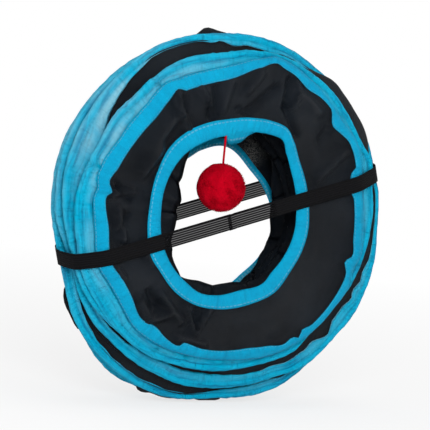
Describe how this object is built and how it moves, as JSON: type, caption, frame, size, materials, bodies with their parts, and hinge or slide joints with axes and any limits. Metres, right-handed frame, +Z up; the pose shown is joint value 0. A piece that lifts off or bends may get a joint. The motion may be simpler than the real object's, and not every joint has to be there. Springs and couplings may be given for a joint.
{
  "type": "cat tunnel",
  "caption": "Collapsible cloth cat tunnel with a spring coil hem, folded flat and held by an elastic band, with a pom-pom hanging in its front opening.",
  "frame": {"origin": "centre of the bounding box in plan, on the surface that the folded tunnel stands on", "axes": "+X to the right when facing the front opening, +Y from the front opening to the rear one, along the way the tunnel opens, +Z up"},
  "size_m": [0.31, 0.0932, 0.3084],
  "materials": {
    "cyan_cloth": "thin woven nylon",
    "cyan_tape": "woven binding tape",
    "black_cloth": "thin woven nylon",
    "black_elastic": "knitted elastic",
    "red_yarn": "fluffy yarn",
    "spring_steel": "drawn wire",
    "clear_vinyl": "soft moulded"
  },
  "bodies": {
    "rear_end": {"rear_casing": "cyan_cloth", "rear_panel": "black_cloth", "rear_opening_binding": "cyan_tape", "rear_seam_tape": "cyan_tape", "tube_section_4": "black_cloth", "spring_wire": "spring_steel", "rear_wire_end_cap": "clear_vinyl"},
    "turn_4": {"casing_turn_4": "cyan_cloth", "tube_section_3": "black_cloth"},
    "turn_3": {"casing_turn_3": "cyan_cloth", "tube_section_2": "black_cloth"},
    "turn_2": {"casing_turn_2": "cyan_cloth", "tube_section_1": "black_cloth"},
    "front_end": {"front_casing": "cyan_cloth", "front_panel": "black_cloth", "front_opening_binding": "cyan_tape", "front_seam_tape": "cyan_tape", "front_wire_end_cap": "clear_vinyl"},
    "holding_band": {"elastic_band": "black_elastic"},
    "pompom_knot": {"pompom_tack": "red_yarn"},
    "pompom_cord": {"pompom_string": "red_yarn"},
    "pompom_ball": {"pompom": "red_yarn"}
  },
  "joints": [
    {"name": "open_1", "type": "slide", "parent": "rear_end", "child": "turn_4", "axis": [0, -1, 0], "range_m": [0, 0.134], "deforming": ["tube_section_4", "spring_wire"]},
    {"name": "open_2", "type": "slide", "parent": "turn_4", "child": "turn_3", "axis": [0, -1, 0], "range_m": [0, 0.134], "deforming": ["tube_section_3"]},
    {"name": "open_3", "type": "slide", "parent": "turn_3", "child": "turn_2", "axis": [0, -1, 0], "range_m": [0, 0.134], "deforming": ["tube_section_2"]},
    {"name": "open_4", "type": "slide", "parent": "turn_2", "child": "front_end", "axis": [0, -1, 0], "range_m": [0, 0.134], "deforming": ["tube_section_1"]},
    {"name": "band_off", "type": "slide", "parent": "rear_end", "child": "holding_band", "axis": [-0.284, 0, 0.9588], "range_m": [0, 0.22], "deforming": ["elastic_band"]},
    {"name": "pompom_swing", "type": "hinge", "parent": "front_end", "child": "pompom_knot", "pos_m": [-0.01994, -0.0261, 0.23004], "axis": [1, 0, 0], "range_deg": [-80, 35]},
    {"name": "pompom_sway", "type": "hinge", "parent": "pompom_knot", "child": "pompom_cord", "pos_m": [-0.01994, -0.0261, 0.23004], "axis": [0, 1, 0], "range_deg": [-20, 20]},
    {"name": "pompom_spin", "type": "hinge", "parent": "pompom_cord", "child": "pompom_ball", "pos_m": [-0.01994, -0.0261, 0.23004], "axis": [0, 0, 1], "continuous": true}
  ],
  "couplings": [
    {"joint": "open_2", "follows": "open_1", "ratio": 1},
    {"joint": "open_3", "follows": "open_1", "ratio": 1},
    {"joint": "open_4", "follows": "open_1", "ratio": 1},
    {"joint": "band_off", "follows": "open_1", "ratio": 1.6417}
  ]
}
